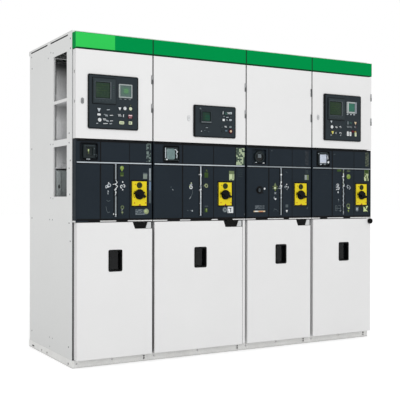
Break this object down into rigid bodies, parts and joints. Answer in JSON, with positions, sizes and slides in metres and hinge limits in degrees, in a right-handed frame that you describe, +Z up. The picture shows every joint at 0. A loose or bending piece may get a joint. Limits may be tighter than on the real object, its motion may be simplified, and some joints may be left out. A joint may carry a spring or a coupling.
{
  "type": "air-insulated switchgear",
  "caption": "Row of metal-enclosed medium-voltage switchgear cubicles with upper instrument doors, dark mechanism covers with selector knobs and lift-off cable panels.",
  "frame": {"origin": "centre of the row's bounding box in plan, at floor level", "axes": "+Z up, front with doors and covers towards -Y, first cubicle at -X"},
  "size_m": [2.3296, 0.918, 2.05],
  "materials": {
    "plinth": "satin",
    "side_paint": "satin",
    "front_paint": "satin",
    "inner_sheet": "matt",
    "mechanism_sheet": "matt",
    "header_green": "satin",
    "cover_plastic": "fine texture",
    "black_plastic": "satin",
    "window_pane": "clear, dark",
    "silver_strip": "satin",
    "yellow_plate": "satin",
    "indicator": "gloss",
    "label_print": "printed",
    "dark_steel": "satin",
    "panel_plastic": "satin",
    "relay_plastic": "satin",
    "meter_bezel": "satin",
    "button_plastic": "satin"
  },
  "bodies": {
    "cubicles": {"plinths": "plinth", "walls_1": "side_paint", "walls_2": "side_paint", "walls_3": "side_paint", "walls_4": "side_paint", "frame_posts": "plinth", "rear_panels": "side_paint", "roof_panels": "side_paint", "headers": "header_green", "door_frames": "front_paint", "lv_back_plates": "inner_sheet", "mechanism_plates": "mechanism_sheet", "sills": "front_paint", "corner_post": "side_paint", "mechanism_cover_1": "cover_plastic", "mechanism_cover_2": "cover_plastic", "mechanism_cover_3": "cover_plastic", "mechanism_cover_4": "cover_plastic", "cable_panel_1": "front_paint", "cable_panel_2": "front_paint", "cable_panel_3": "front_paint", "cable_panel_4": "front_paint", "window_bezels": "black_plastic", "window_panes": "window_pane", "latch_handles": "black_plastic", "latch_brackets": "side_paint", "mimic_strips": "silver_strip", "selector_plates": "yellow_plate", "lever_sockets": "black_plastic", "indicators": "panel_plastic", "indicator_lenses": "indicator", "key_lock": "panel_plastic", "labels": "label_print", "hinge_pins": "dark_steel"},
    "door_1": {"upper_door_1": "front_paint", "door_fittings_1": "dark_steel", "control_panel_1": "panel_plastic", "relay_1": "relay_plastic", "meter_1": "meter_bezel", "buttons_1": "button_plastic"},
    "door_2": {"upper_door_2": "front_paint", "door_fittings_2": "dark_steel", "control_panel_2": "panel_plastic", "controller_2": "relay_plastic", "buttons_2": "button_plastic"},
    "door_3": {"upper_door_3": "front_paint", "door_fittings_3": "dark_steel"},
    "door_4": {"upper_door_4": "front_paint", "door_fittings_4": "dark_steel", "control_panel_4": "panel_plastic", "relay_4": "relay_plastic", "meter_4": "meter_bezel", "buttons_4": "button_plastic"},
    "knob_1": {"selector_1": "black_plastic"},
    "knob_2": {"selector_2": "black_plastic"},
    "knob_3": {"selector_3": "black_plastic"},
    "knob_4": {"selector_4": "black_plastic"}
  },
  "joints": [
    {"name": "upper_door_1_hinge", "type": "hinge", "parent": "cubicles", "child": "door_1", "pos_m": [-0.6525, -0.435, 1.663], "axis": [0, 0, 1], "range_deg": [0, 90]},
    {"name": "upper_door_2_hinge", "type": "hinge", "parent": "cubicles", "child": "door_2", "pos_m": [0.0475, -0.435, 1.663], "axis": [0, 0, 1], "range_deg": [0, 90]},
    {"name": "upper_door_3_hinge", "type": "hinge", "parent": "cubicles", "child": "door_3", "pos_m": [0.6025, -0.435, 1.663], "axis": [0, 0, 1], "range_deg": [0, 90]},
    {"name": "upper_door_4_hinge", "type": "hinge", "parent": "cubicles", "child": "door_4", "pos_m": [1.1575, -0.435, 1.663], "axis": [0, 0, 1], "range_deg": [0, 90]},
    {"name": "selector_1_turn", "type": "hinge", "parent": "cubicles", "child": "knob_1", "pos_m": [-0.74, -0.441, 1.057], "axis": [0, 1, 0], "range_deg": [0, 90]},
    {"name": "selector_2_turn", "type": "hinge", "parent": "cubicles", "child": "knob_2", "pos_m": [-0.111, -0.441, 1.057], "axis": [0, 1, 0], "range_deg": [0, 90]},
    {"name": "selector_3_turn", "type": "hinge", "parent": "cubicles", "child": "knob_3", "pos_m": [0.511, -0.441, 1.057], "axis": [0, 1, 0], "range_deg": [0, 90]},
    {"name": "selector_4_turn", "type": "hinge", "parent": "cubicles", "child": "knob_4", "pos_m": [1.065, -0.441, 1.057], "axis": [0, 1, 0], "range_deg": [0, 90]}
  ]
}
